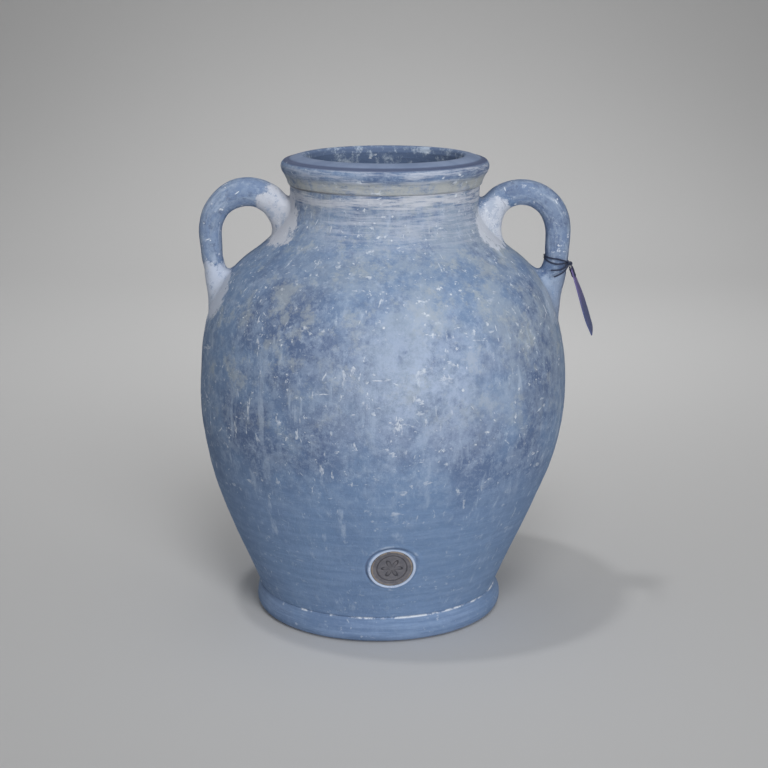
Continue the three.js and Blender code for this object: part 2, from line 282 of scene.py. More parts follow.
class Nodes:
    """A short way to lay out a material's nodes."""

    def __init__(self, name, roughness=0.9):
        self.material = bpy.data.materials.new(name)
        self.material.use_nodes = True
        self.tree = self.material.node_tree
        self.shader = self.tree.nodes["Principled BSDF"]
        self.shader.inputs["Roughness"].default_value = roughness
        self.place = self.add("ShaderNodeTexCoord").outputs["Object"]

    def add(self, kind, inputs=(), **settings):
        made = self.tree.nodes.new(kind)
        for key, value in settings.items():
            setattr(made, key, value)
        for key, value in dict(inputs).items():
            self.feed(made.inputs[key], value)
        return made

    def feed(self, socket, value):
        if isinstance(value, bpy.types.NodeSocket):
            self.tree.links.new(value, socket)
        elif isinstance(value, tuple) and socket.type == "RGBA":
            socket.default_value = (*value, 1)
        else:
            socket.default_value = value

    def math(self, operation, a, b=0.0):
        return self.add("ShaderNodeMath", {0: a, 1: b}, operation=operation).outputs[0]

    def times(self, a, b):
        return self.math("MULTIPLY", a, b)

    def plus(self, a, b):
        return self.math("ADD", a, b)

    def vector(self, operation, a, b):
        return self.add("ShaderNodeVectorMath", {0: a, 1: b}, operation=operation).outputs[0]

    def length(self, vector):
        return self.add("ShaderNodeVectorMath", {0: vector}, operation="LENGTH").outputs["Value"]

    def noise(self, scale, detail, rough, stretch=(1, 1, 1), shift=(0, 0, 0)):
        mapping = {"Vector": self.place, "Scale": stretch, "Location": shift}
        place = self.add("ShaderNodeMapping", mapping).outputs[0]
        values = {"Vector": place, "Scale": scale, "Detail": detail, "Roughness": rough}
        return self.add("ShaderNodeTexNoise", values).outputs["Fac"]

    def ramp(self, value, low, high):
        """Nought below low, one above high, and smooth between them."""
        values = {"Value": value, "From Min": low, "From Max": high}
        made = self.add("ShaderNodeMapRange", values, interpolation_type="SMOOTHSTEP")
        return made.outputs["Result"]

    def blend(self, share, a, b):
        return self.add("ShaderNodeMix", {0: share, 6: a, 7: b}, data_type="RGBA").outputs[2]

    def over(self, colour, tint, cover, share):
        """A tint laid over a colour where cover is one, at a share of its strength."""
        return self.blend(self.times(cover, share), colour, tint)

    def axis(self, name):
        return self.add("ShaderNodeSeparateXYZ", {0: self.place}).outputs[name]

    def near(self, centre, reach):
        """One at a point, falling to nought at a distance from it along each axis."""
        away = self.vector("SUBTRACT", self.place, centre)
        scaled = self.vector("DIVIDE", away, reach)
        return self.ramp(self.length(scaled), 1.0, 0.0)

    def bump(self, height, depth):
        made = self.add("ShaderNodeBump", {"Height": height, "Distance": depth})
        self.tree.links.new(made.outputs[0], self.shader.inputs["Normal"])

    def finish(self, colour, roughness=None):
        self.feed(self.shader.inputs["Base Color"], colour)
        if roughness is not None:
            self.feed(self.shader.inputs["Roughness"], roughness)
        return self.material

    def specks(self, spacing, size, share):
        """Small round spots: one in some of the cells of a given spacing."""
        cells = self.add("ShaderNodeTexVoronoi", {"Vector": self.place, "Scale": 1 / spacing})
        chosen = self.add("ShaderNodeSeparateColor", {0: cells.outputs["Color"]})
        spot_size = self.times(chosen.outputs["Green"], size / spacing)
        spot = self.math("LESS_THAN", cells.outputs["Distance"], spot_size)
        return self.times(spot, self.math("GREATER_THAN", chosen.outputs["Red"], 1 - share))

    def scratches(self, spacing, length, width, share, shift=0.0):
        """Short strokes, each turned its own way, laid out on the piece's own UV map."""
        flat = self.add("ShaderNodeUVMap").outputs["UV"]
        waver = self.add("ShaderNodeTexNoise", {"Vector": flat, "Scale": 160.0, "Detail": 2.0})
        bent = self.vector("MULTIPLY", waver.outputs["Color"], (2.5 * MM, 2.5 * MM, 0))
        place = self.vector("ADD", self.vector("ADD", flat, bent), (shift, shift, 0))
        values = {"Vector": place, "Scale": 1 / spacing}
        cells = self.add("ShaderNodeTexVoronoi", values, voronoi_dimensions="2D")
        chosen = self.add("ShaderNodeSeparateColor", {0: cells.outputs["Color"]})
        away = self.vector("SUBTRACT", place, cells.outputs["Position"])
        angle = self.times(chosen.outputs["Blue"], 2 * pi)
        spin = {"Vector": away, "Angle": angle}
        turned = self.add("ShaderNodeVectorRotate", spin, rotation_type="Z_AXIS").outputs[0]
        scaled = self.vector("DIVIDE", turned, (length / 2, width / 2, 1))
        stroke = self.ramp(self.length(scaled), 1.0, 0.5)
        return self.times(stroke, self.math("GREATER_THAN", chosen.outputs["Red"], 1 - share))


def shade(red, green, blue):
    """A colour as it shows on a screen, from 0 to 255, in the renderer's linear light."""
    return tuple(((c / 255 + 0.055) / 1.055) ** 2.4 for c in (red, green, blue))


DEEP = shade(86, 106, 142)
STEEL = shade(110, 136, 172)
GREY_BLUE = shade(148, 166, 192)
PALE = shade(180, 195, 216)
CHALK = shade(224, 231, 240)
BEIGE = shade(168, 176, 181)
LILAC = shade(192, 199, 214)
# earthy brown: chips on the lutings, and painted shade under the collar's lower edge
EARTH_AND_SHADE = shade(104, 92, 92)
NAVY = shade(58, 74, 104)
# dark slate: the handles' dark mottle, and painted shade in the seal lip's groove
MOTTLE_AND_SHADE = shade(80, 94, 124)
PLAIN_DEEP = shade(110, 137, 174)  # the lower wall's two tones
PLAIN_PALE = shade(122, 148, 185)

# Where pale slip was smeared over the handles' joints: its middle, how far it spreads, how well it
# covers, and its colour.
WASHES = [
    ((0.094, -0.012, 0.343), (0.031, 0.08, 0.036), 0.95, shade(210, 216, 228)),
    ((-0.090, -0.020, 0.351), (0.033, 0.09, 0.042), 0.90, shade(206, 210, 220)),
    ((-0.147, -0.012, 0.286), (0.034, 0.08, 0.038), 0.90, shade(198, 207, 224)),
    ((0.150, -0.012, 0.280), (0.034, 0.08, 0.036), 0.50, shade(178, 194, 216)),
]


def slip_ground(n, deep=DEEP, steel=STEEL):
    """Worn slip, as on every clay piece: clouded, mottled in crisp flakes, and pitted."""
    colour = n.blend(n.ramp(n.noise(11, 4, 0.6), 0.40, 0.60), deep, steel)
    flakes = n.noise(75, 10, 0.78, shift=(0.3, 0.1, 0.2))
    colour = n.over(colour, GREY_BLUE, n.ramp(flakes, 0.46, 0.58), 0.5)
    chips = n.noise(190, 8, 0.8, shift=(0.6, 0.2, 0.5))
    colour = n.over(colour, PALE, n.ramp(chips, 0.52, 0.62), 0.35)
    pits = n.noise(120, 9, 0.78, shift=(0.7, 0.4, 0.9))
    colour = n.over(colour, deep, n.ramp(pits, 0.52, 0.64), 0.45)
    relief = n.math("SUBTRACT", flakes, n.times(pits, 0.6))
    return colour, relief


def plain_slip(n):
    """The even steel blue of the lower wall, brushed round the jar."""
    round_jar = n.noise(60, 6, 0.68, stretch=(0.3, 0.3, 4))
    return n.blend(n.ramp(round_jar, 0.42, 0.62), PLAIN_DEEP, PLAIN_PALE)


def joint_wash(n, colour):
    """Pale slip with a ragged edge over each joint. It runs on from piece to piece."""
    ragged = n.times(n.math("SUBTRACT", n.noise(110, 9, 0.8, shift=(0.1, 0.9, 0.3)), 0.5), 3.4)
    for centre, reach, cover, tint in WASHES:
        spread = n.times(n.near(centre, reach), n.plus(ragged, 1.0))
        colour = n.blend(n.times(n.ramp(spread, 0.28, 0.42), cover), colour, tint)
    return colour


def flecks(n, scale, cover, stretch=(1, 1, 1), shift=0.0):
    """Irregular chips down to the chalk, in loose clusters."""
    cluster = n.ramp(n.noise(22, 6, 0.7, shift=(shift, 0.2, 0.8)), 0.45, 0.57)
    chips = n.ramp(n.noise(scale, 3, 0.62, stretch, (0.1, shift, 0.4)), 0.635, 0.68)
    return n.times(n.times(chips, cluster), cover)


def greatest(n, shares):
    top = shares[0]
    for share in shares[1:]:
        top = n.math("MAXIMUM", top, share)
    return top


def from_axis(n):
    """How far a place is from the jar's axis."""
    place = n.add("ShaderNodeSeparateXYZ", {0: n.place}).outputs
    across = n.plus(n.math("POWER", place["X"], 2.0), n.math("POWER", place["Y"], 2.0))
    return n.math("SQRT", across)


def from_seal(n):
    """How far a place is from the seal's middle."""
    return n.length(n.vector("SUBTRACT", n.place, tuple(SEAL_PLACE.translation)))


def body_slip():
    """Chalky blue-grey slip, rubbed thin on the shoulder, with a pale clouding on the belly that is
    partly painted light.
    """
    n = Nodes("body_slip", 0.94)
    height = n.axis("Z")
    across = n.axis("X")
    colour, relief = slip_ground(n)

    colour = n.over(colour, plain_slip(n), n.ramp(height, 0.185, 0.105), 0.78)

    # The shoulder is worn to grey, most of all in front and to the right. Keeping the grey off the
    # left is partly painted light: it leaves the left side darker.
    shoulder_grey_and_side_light = n.times(n.ramp(height, 0.17, 0.27), n.ramp(across, -0.13, 0.02))
    grey = n.ramp(n.noise(26, 10, 0.76, shift=(0.5, 0.3, 0.1)), 0.42, 0.58)
    colour = n.over(colour, shade(150, 165, 184), n.times(grey, shoulder_grey_and_side_light), 0.72)
    patch = n.ramp(n.noise(34, 11, 0.8, shift=(0.13, 0.5, 0.31)), 0.51, 0.60)
    worn = n.times(patch, n.ramp(height, 0.15, 0.24))
    colour = n.over(colour, BEIGE, worn, 0.52)

    # Fine streaks and short runs down the wall.
    streak = n.noise(150, 5, 0.62, stretch=(1, 1, 0.14))
    some = n.ramp(n.noise(18, 4, 0.6, shift=(0.2, 0.7, 0.7)), 0.44, 0.62)
    streaks = n.times(n.times(n.ramp(streak, 0.54, 0.70), some), 0.5)
    colour = n.blend(streaks, colour, PALE)
    run = n.ramp(n.noise(52, 7, 0.7, stretch=(1, 1, 0.16), shift=(0.4, 0.4, 0.2)), 0.55, 0.66)
    runs = n.times(n.times(run, n.ramp(height, 0.10, 0.16)), n.ramp(height, 0.30, 0.24))
    colour = n.over(colour, shade(164, 180, 203), runs, 0.5)

    # The pale clouding, broken into flakes: partly a real pale patch, and partly painted light on the
    # front of the belly.
    cloud_and_front_light = n.near((0.028, -0.150, 0.236), (0.120, 0.10, 0.105))
    broken = n.ramp(n.noise(48, 11, 0.8, shift=(0.9, 0.2, 0.4)), 0.38, 0.60)
    share = n.times(cloud_and_front_light, n.plus(n.times(broken, 0.62), 0.14))
    colour = n.blend(share, colour, shade(180, 196, 222))

    # Pale brush marks round the neck, fading out towards the left as painted light, and a broken band
    # under the collar.
    brush = n.noise(85, 8, 0.74, stretch=(0.35, 0.35, 4.5), shift=(0.2, 0.1, 0.5))
    neck = n.times(n.ramp(height, 0.318, 0.352), n.ramp(across, -0.085, -0.02))
    colour = n.over(colour, LILAC, n.times(neck, n.ramp(brush, 0.40, 0.62)), 0.62)
    band = n.times(n.ramp(height, 0.3605, 0.3665), n.ramp(brush, 0.42, 0.56))
    colour = n.over(colour, shade(205, 207, 214), band, 0.62)

    colour = joint_wash(n, colour)
    marks = greatest(
        n,
        [
            flecks(n, 200, 0.9),
            flecks(n, 150, 0.8, stretch=(1, 1, 0.35), shift=0.33),
            flecks(n, 130, 0.8, stretch=(0.4, 0.4, 1), shift=0.61),
            n.times(n.specks(9 * MM, 1.3 * MM, 0.14), 0.9),
            n.times(n.scratches(34 * MM, 10 * MM, 1.5 * MM, 0.22), 0.75),
            n.times(n.scratches(21 * MM, 6 * MM, 0.9 * MM, 0.20, 0.37), 0.7),
        ],
    )
    rubbed = n.ramp(n.noise(330, 4, 0.75), 0.40, 0.52)
    fewer_low = n.plus(n.times(n.ramp(height, 0.10, 0.19), 0.55), 0.30)
    marks = n.times(marks, fewer_low)
    chalk = n.times(marks, n.plus(n.times(rubbed, 0.75), 0.25))
    colour = n.blend(chalk, colour, CHALK)
    foot_line = n.times(n.ramp(height, 0.0232, 0.0224), n.ramp(n.noise(26, 6, 0.75), 0.49, 0.58))
    colour = n.over(colour, CHALK, foot_line, 0.9)

    # Painted shade inside the neck: its inner wall is darkened towards navy.
    inside = n.times(n.ramp(from_axis(n), 0.0765, 0.0735), n.ramp(height, 0.28, 0.31))
    colour = n.over(colour, NAVY, inside, 0.6)

    relief = n.plus(relief, n.times(n.noise(620, 5, 0.7), 0.3))
    relief = n.plus(relief, n.times(streak, 0.3))
    n.bump(n.plus(relief, n.times(chalk, 0.25)), 0.9 * MM)
    return n.finish(colour)


def foot_slip():
    """Evenly steel blue, brushed round, with a broken chalk line where the ring meets the wall."""
    n = Nodes("foot_slip", 0.92)
    height = n.axis("Z")
    colour, relief = slip_ground(n)
    brush = n.noise(55, 7, 0.7, stretch=(0.25, 0.25, 4))
    plain = n.blend(n.ramp(brush, 0.40, 0.64), shade(106, 131, 167), shade(132, 156, 192))
    colour = n.blend(0.78, colour, plain)
    line = n.times(n.ramp(height, 0.0206, 0.0215), n.ramp(n.noise(26, 6, 0.75), 0.49, 0.58))
    colour = n.over(colour, CHALK, line, 0.9)
    marks = greatest(n, [flecks(n, 190, 0.3), n.specks(15 * MM, 1.0 * MM, 0.1)])
    colour = n.blend(marks, colour, CHALK)
    n.bump(n.plus(relief, n.times(brush, 0.9)), 0.7 * MM)
    return n.finish(colour)


def collar_slip():
    """A smooth dark crown, and below its edge a pale streaked face worn to beige at the bottom."""
    n = Nodes("collar_slip", 0.8)
    height = n.axis("Z")
    across = n.axis("X")
    ground, relief = slip_ground(n)
    brush = n.noise(80, 8, 0.74, stretch=(0.35, 0.35, 4))
    # Painted light: the face's pale streaks are stronger towards the right.
    painted_light_side = n.ramp(across, -0.085, -0.03)
    pale = n.times(n.ramp(brush, 0.42, 0.64), n.plus(n.times(painted_light_side, 0.5), 0.42))
    face = n.blend(pale, ground, LILAC)
    worn = n.times(n.ramp(height, 0.3885, 0.3825), n.ramp(n.noise(60, 10, 0.8), 0.34, 0.56))
    face = n.blend(n.times(worn, 0.85), face, shade(184, 187, 184))
    clouded = n.ramp(n.noise(30, 4, 0.6), 0.35, 0.7)
    crown = n.blend(clouded, shade(116, 133, 164), shade(136, 152, 182))
    turn_over = n.ramp(n.plus(height, n.times(brush, 2 * MM)), 0.3955, 0.3975)
    colour = n.blend(turn_over, face, crown)
    nose = n.times(n.ramp(from_axis(n), 0.0835, 0.0870), turn_over)
    colour = n.over(colour, shade(84, 98, 128), nose, 0.7)
    edge = n.times(n.ramp(height, 0.3945, 0.3960), n.ramp(height, 0.3978, 0.3968))
    colour = n.over(colour, shade(72, 84, 116), edge, 0.8)
    # Painted shade: an earthy brown under the collar's lower edge, on the left side only.
    undercut_shade = n.times(n.ramp(height, 0.3768, 0.3757), n.ramp(across, -0.01, -0.07))
    colour = n.over(colour, EARTH_AND_SHADE, undercut_shade, 0.5)
    bore = n.blend(n.ramp(n.noise(60, 9, 0.78), 0.49, 0.60), shade(98, 118, 152), shade(176, 191, 210))
    colour = n.blend(n.ramp(from_axis(n), 0.0705, 0.0688), colour, bore)
    chips = flecks(n, 200, 0.8, stretch=(0.5, 0.5, 1))
    marks = greatest(n, [chips, n.specks(9 * MM, 0.9 * MM, 0.12)])
    colour = n.blend(n.times(marks, n.math("SUBTRACT", 1.0, turn_over)), colour, CHALK)
    smooth = n.math("SUBTRACT", 0.92, n.times(turn_over, 0.22))
    rough = n.math("SUBTRACT", 1.0, n.times(turn_over, 0.75))
    n.bump(n.times(n.plus(relief, n.times(brush, 0.8)), rough), 0.9 * MM)
    return n.finish(colour, smooth)


def handle_slip(name):
    """The jar's slip with lengthwise streaks, as a pulled coil takes it."""
    n = Nodes(name, 0.9)
    colour, relief = slip_ground(n, shade(88, 106, 140), shade(120, 141, 175))
    flat = n.add("ShaderNodeUVMap").outputs["UV"]
    along = n.add("ShaderNodeMapping", {"Vector": flat, "Scale": (1, 0.16, 1)}).outputs[0]
    values = {"Vector": along, "Scale": 170.0, "Detail": 7.0, "Roughness": 0.7}
    streaks = n.ramp(n.add("ShaderNodeTexNoise", values).outputs["Fac"], 0.46, 0.64)
    colour = n.over(colour, PALE, streaks, 0.5)
    dark = n.ramp(n.noise(85, 9, 0.78, shift=(0.2, 0.6, 0.1)), 0.54, 0.64)
    colour = n.over(colour, MOTTLE_AND_SHADE, dark, 0.55)
    colour = joint_wash(n, colour)
    marks = [
        flecks(n, 210, 0.9),
        flecks(n, 150, 0.8, shift=0.4),
        n.specks(7 * MM, 1.1 * MM, 0.22),
        n.scratches(14 * MM, 6 * MM, 1.0 * MM, 0.22),
    ]
    colour = n.blend(greatest(n, marks), colour, CHALK)
    n.bump(n.plus(relief, n.times(streaks, 0.35)), 1.0 * MM)
    return n.finish(colour)


def luting_slip(name):
    """The jar's slip under the pale wash, with a few earthy chips."""
    n = Nodes(name, 0.95)
    colour, relief = slip_ground(n)
    colour = joint_wash(n, colour)
    smear = n.noise(60, 9, 0.76, shift=(0.4, 0.8, 0.6))
    colour = n.over(colour, GREY_BLUE, n.ramp(smear, 0.51, 0.58), 0.5)
    bare = n.ramp(n.noise(150, 10, 0.82, shift=(0.3, 0.3, 0.6)), 0.55, 0.61)
    colour = n.over(colour, STEEL, bare, 0.6)
    earthy = n.times(n.ramp(n.noise(130, 9, 0.8), 0.60, 0.70), 0.55)
    colour = n.blend(earthy, colour, EARTH_AND_SHADE)
    marks = greatest(n, [flecks(n, 200, 0.8), n.specks(8 * MM, 1.1 * MM, 0.15)])
    colour = n.blend(marks, colour, CHALK)
    n.bump(n.plus(relief, n.times(smear, 0.8)), 1.0 * MM)
    return n.finish(colour)


def lip_slip():
    """The lip round the seal: steel blue, with rubbed chalk on its raised edge."""
    n = Nodes("lip_slip", 0.92)
    colour, relief = slip_ground(n)
    colour = n.blend(0.78, colour, plain_slip(n))
    distance = from_seal(n)
    raised = n.times(n.ramp(distance, 20.4 * MM, 19.2 * MM), 0.95)
    rubbed = n.ramp(n.noise(75, 6, 0.7), 0.26, 0.46)
    colour = n.blend(n.times(raised, rubbed), colour, shade(192, 207, 232))
    # Painted shade in the groove round the lip, broken into patches.
    groove = n.times(n.ramp(distance, 20.2 * MM, 21.2 * MM), n.ramp(distance, 22.6 * MM, 21.8 * MM))
    shaded = n.ramp(n.noise(40, 4, 0.6, shift=(0.4, 0.1, 0.2)), 0.40, 0.58)
    colour = n.over(colour, MOTTLE_AND_SHADE, n.times(groove, shaded), 0.6)
    bank = n.times(n.ramp(distance, 22.4 * MM, 23.4 * MM), n.ramp(distance, 26 * MM, 24.4 * MM))
    patchy = n.ramp(n.noise(60, 5, 0.6, shift=(0.2, 0.2, 0.7)), 0.50, 0.62)
    colour = n.over(colour, PALE, n.times(bank, patchy), 0.6)
    n.bump(relief, 0.6 * MM)
    return n.finish(colour)


def seal_metal():
    """Dull taupe, tan on its rim, and darker where the pattern is cut in."""
    n = Nodes("seal_metal", 0.62)
    tarnish = n.noise(160, 8, 0.75)
    colour = n.blend(n.ramp(tarnish, 0.38, 0.62), shade(102, 102, 110), shade(122, 120, 126))
    distance = from_seal(n)
    rim = n.times(n.ramp(distance, 15.6 * MM, 16.4 * MM), n.ramp(tarnish, 0.36, 0.52))
    colour = n.over(colour, shade(158, 144, 128), rim, 0.8)
    cut_in = n.add("ShaderNodeAttribute", attribute_name="cut_in").outputs["Fac"]
    colour = n.over(colour, shade(48, 48, 56), cut_in, 0.75)
    n.shader.inputs["Metallic"].default_value = 0.25
    n.bump(n.plus(tarnish, n.noise(900, 3, 0.6)), 0.25 * MM)
    return n.finish(colour, n.plus(n.times(tarnish, 0.25), 0.48))


def waxed_string():
    """Twisted string, near-black blue, with a waxy sheen."""
    n = Nodes("waxed_string", 0.55)
    ply = n.add("ShaderNodeTexWave", {"Vector": n.place, "Scale": 420.0, "Distortion": 2.0})
    colour = n.blend(ply.outputs["Fac"], shade(24, 30, 48), shade(58, 68, 96))
    n.bump(ply.outputs["Fac"], 0.2 * MM)
    return n.finish(colour)


def card_stock():
    """Slate card, violet towards its top: fine fibres, and slightly rubbed."""
    n = Nodes("card_stock", 0.82)
    fibre = n.noise(900, 4, 0.6, stretch=(1, 0.3, 1))
    faded = n.ramp(n.plus(n.axis("Z"), n.times(fibre, 6 * MM)), 0.268, 0.300)
    slate = n.blend(n.ramp(fibre, 0.35, 0.7), shade(66, 76, 116), shade(86, 96, 138))
    violet = n.blend(n.ramp(fibre, 0.35, 0.7), shade(92, 82, 132), shade(116, 104, 158))
    colour = n.blend(faded, slate, violet)
    rubbed = n.times(n.ramp(n.noise(60, 4, 0.6), 0.5, 0.7), 0.3)
    colour = n.blend(rubbed, colour, shade(104, 100, 146))
    n.bump(fibre, 0.12 * MM)
    return n.finish(colour)


# ---- seal's place

SEAL_UPRIGHT = (
    Matrix.Rotation(SEAL_TURN, 4, "Z")
    @ Matrix.Translation((0, -radius_at(SEAL_HEIGHT), SEAL_HEIGHT))
    @ Matrix.Rotation(pi / 2 + SEAL_TILT, 4, "X")
)
SEAL_PLACE = LEAN_MATRIX @ SEAL_UPRIGHT

# ---- handles' lines

SIDE = at(149 * MM, LEVEL_HEIGHT)  # where a handle stands furthest out


def handle_line():
    """The middle line of a handle: out of the neck, over the top, and down to the shoulder."""
    start = at(NECK_RADIUS + 18.3 * MM, NECK_TOP - 12.5 * MM)
    end = at(146.1 * MM, SHOULDER_HEIGHT - 14.4 * MM)
    rise = at(cos(radians(35)), sin(radians(35))) * 24 * MM
    lean_in = at(sin(radians(12)), cos(radians(12))) * 10 * MM
    top = geometry.interpolate_bezier(start, start + rise, SIDE + at(0, 30 * MM), SIDE, 60)
    low = geometry.interpolate_bezier(SIDE, SIDE - at(0, 11 * MM), end + lean_in, end, 40)
    return top + low[1:]


class Line:
    """A line of points that can be read at any share of its length."""

    def __init__(self, points):
        self.points = points
        self.reach = [0.0]
        for a, b in zip(points, points[1:]):
            self.reach.append(self.reach[-1] + (b - a).length)
        self.length = self.reach[-1]

    def at(self, share):
        goal = min(max(share, 0), 1) * self.length
        for i in range(1, len(self.points)):
            if goal <= self.reach[i] or i == len(self.points) - 1:
                span = max(self.reach[i] - self.reach[i - 1], 1e-12)
                return self.points[i - 1].lerp(self.points[i], (goal - self.reach[i - 1]) / span)

    def along(self, share):
        step = 0.01
        return (self.at(share + step) - self.at(share - step)).normalized()


HANDLE_LINE = Line(handle_line())


def smooth_line(points, count):
    """A smooth line through points, with a count of steps between each two."""
    ends = [points[0] * 2 - points[1], *points, points[-1] * 2 - points[-2]]
    line = [points[0]]
    for before, start, end, after in zip(ends, ends[1:], ends[2:], ends[3:]):
        for i in range(1, count + 1):
            t = i / count
            a = start * 2 + (end - before) * t
            b = (before * 2 - start * 5 + end * 4 - after) * t * t
            c = (start * 3 - before - end * 3 + after) * t**3
            line.append((a + b + c) / 2)
    return line


# Each coil's section along its length: the share of the length, then in millimetres half its width,
# half its depth, and how far it stands out from the middle line.
RIGHT_COIL = [
    (0, 11.0, 11.5, 0),
    (0.25, 10.7, 11.4, 0),
    (0.55, 10.9, 11.5, 0),
    (0.80, 10.3, 11.2, 0.4),
    (0.92, 9.8, 11.0, 1.0),
    (1, 10.0, 11.2, 1.0),
]
LEFT_COIL = [
    (0, 12.0, 11.6, 0),
    (0.25, 12.2, 11.5, 0.3),
    (0.50, 10.4, 11.2, 0),
    (0.62, 9.8, 10.8, 0),
    (0.85, 9.2, 10.2, -0.6),
    (1, 8.4, 9.8, -1.2),
]
RIGHT_SQUARE = 0.82  # under one, a section has flatter sides and softer corners than an oval
LEFT_SQUARE = 0.95


def coil_size(coil, share):
    share = min(max(share, 0), 1)
    for low, high in zip(coil, coil[1:]):
        if share <= high[0]:
            part = smooth_step(low[0], high[0], share)
            return [mix(a, b, part) * MM for a, b in zip(low[1:], high[1:])]


def coil_point(coil, square, share, angle, lift=0.0):
    """A point on a coil's surface. Angle 0 is away from the jar, a quarter turn is the front."""
    half_width, half_depth, shift = coil_size(coil, share)
    centre = HANDLE_LINE.at(share)
    along = HANDLE_LINE.along(share)
    out = at(-along.z, along.x)
    c, s = cos(angle), sin(angle)
    lumps = 1 + 0.05 * noise.noise(centre * 45 + Vector((c, s, 0)) * 0.9)
    across = abs(c) ** square * (1 if c >= 0 else -1) * (half_width * lumps + lift)
    deep = abs(s) ** square * (1 if s >= 0 else -1) * (half_depth * lumps + lift)
    return centre + out * (across + shift) + Vector((0, -1, 0)) * deep


# ---- the tag's string

WRAP_RISE = 9.5 * MM  # above the shoulder end of the handle
WRAP_SHARE = 1 - WRAP_RISE / HANDLE_LINE.length
WRAP_CENTRE = HANDLE_LINE.at(WRAP_SHARE)
WRAP_ALONG = HANDLE_LINE.along(WRAP_SHARE)
WRAP_OUT = at(-WRAP_ALONG.z, WRAP_ALONG.x)
COIL_HALF_WIDTH = 11 * MM
COIL_HALF_DEPTH = 11.5 * MM
KNOT_ANGLE = radians(42)  # from straight out, towards the front
KNOT_RADIUS = 2.6 * MM
STAND_OFF = 0.3 * MM


def round_handle(angle, lift, slide):
    """A place round the right handle: an angle from straight out towards the front."""
    share = WRAP_SHARE + slide / HANDLE_LINE.length
    return coil_point(RIGHT_COIL, RIGHT_SQUARE, share, angle, lift)


KNOT_LIFT = 2 * STAND_OFF + STRING_DIAMETER + KNOT_RADIUS
KNOT_CENTRE = (
    WRAP_CENTRE
    + WRAP_OUT * (COIL_HALF_WIDTH + KNOT_LIFT) * cos(KNOT_ANGLE)
    + Vector((0, -1, 0)) * (COIL_HALF_DEPTH + KNOT_LIFT) * sin(KNOT_ANGLE)
)

# Where the turns run: degrees round from the knot, and millimetres along the handle towards its end.
TURN_SLIDES = [
    (14, -1.4),
    (48, -2.6),
    (138, -3.0),
    (228, -1.4),
    (318, -0.2),
    (374, 0.2),
    (408, 1.6),
    (498, -0.8),
    (588, 0.5),
    (678, 1.5),
    (706, 0.9),
]

# The cut ends lie across the front of the handle. Millimetres from the knot's centre, the tip last.
TAIL_ROUTES = [
    [
        (-2.6, -1.4, -1.4),
        (-5, -3.6, -3.4),
        (-8.5, -5.1, -4.6),
        (-12.5, -5.6, -4.9),
        (-16.4, -5.4, -5),
    ],
    [
        (-1.6, -1.9, -2.2),
        (-4.2, -4.6, -5.4),
        (-7.2, -6.6, -7.4),
        (-10.4, -7.8, -8.9),
        (-13.6, -8.4, -10.2),
    ],
]


def string_route():
    """From cut end to cut end: through the knot, round the handle, and through the knot again."""
    first, second = [[KNOT_CENTRE + Vector(p) * MM for p in route] for route in TAIL_ROUTES]
    turns = []
    for (start, low), (end, high) in zip(TURN_SLIDES, TURN_SLIDES[1:]):
        steps = max(2, round((end - start) / 14))
        for i in range(steps + (end == TURN_SLIDES[-1][0])):
            angle = radians(mix(start, end, i / steps))
            slide = mix(low, high, smooth_step(0, 1, i / steps)) * MM
            turns.append(round_handle(KNOT_ANGLE + angle, STRING_RADIUS + 0.15 * MM, slide))
    inside = Vector((0.4, 0, 0.5)) * MM
    return [*first[::-1], KNOT_CENTRE + inside, *turns, KNOT_CENTRE - inside, *second]


def string_curve(name, points, material, body, *nodes, cyclic=False):
    """A round string along a line of points of the upright jar."""
    data = bpy.data.curves.new(name, "CURVE")
    data.dimensions = "3D"
    data.bevel_depth = STRING_RADIUS
    data.bevel_resolution = 3
    data.use_fill_caps = not cyclic
    spline = data.splines.new("POLY")
    spline.points.add(len(points) - 1)
    for knot, place in zip(spline.points, points):
        knot.co = (*leaned(place), 1)
    spline.use_cyclic_u = cyclic
    data.materials.append(material)
    piece = add_object(name, data)
    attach(piece, body)
    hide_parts(*nodes)
    return piece


STRING = waxed_string()


def make_string():
    """The string's turns and cut ends as one cord, and the knot that it is tied in."""
    route = smooth_line(string_route(), 3)
    length = sum((b - a).length for a, b in zip(route, route[1:]))
    nodes = ("tag_string_wrap", "tag_string_tail_1", "tag_string_tail_2")
    cord = string_curve("tag_string", route, STRING, "jar", *nodes)
    knot_line = []
    for i in range(60):
        t = 2 * pi * i / 60
        reach = 1.25 + 0.6 * cos(3 * t)
        turn = Vector((reach * cos(2 * t), 0.75 * reach * sin(2 * t) - 0.3, 1.25 * sin(3 * t)))
        knot_line.append(KNOT_CENTRE + turn * MM)
    knot = string_curve("string_knot", knot_line, STRING, "jar", "tag_string_knot", cyclic=True)
    tuple(leaned(route[0]))


make_string()

# ---- foot ring, body and collar

ROUND = 240  # steps round the jar
MEAN_RADIUS = 0.14
WALL_STRETCH = 1.15  # how much longer the wall is than it is high


def make_foot():
    top = FOOT_HEIGHT + 0.2 * MM
    rows = [(101.6, 0.5), (105.6, 2.4), (108, 6.2), (108.3, 11), (107.2, 16), (105.3, 20)]
    outside = smooth_line([*profile(rows), at(104.2 * MM, top)], 5)
    inside = [
        at(FOOT_INNER_RADIUS, top),
        at(FOOT_INNER_RADIUS, 1.2 * MM),
        at(FOOT_INNER_RADIUS + 1.5 * MM, 0),
        at(100.4 * MM, 0),
    ]
    shape = spun(outside + evenly(inside, 3 * MM), ROUND)
    wobble(shape, 0.8, keep_below=1 * MM)
    for vert in shape.verts:
        vert.co.x += 1.3 * MM * smooth_step(21 * MM, 13 * MM, vert.co.z)
    move(shape, LEAN_MATRIX)
    finish_mesh(shape, "foot", foot_slip(), "jar", "foot_ring")


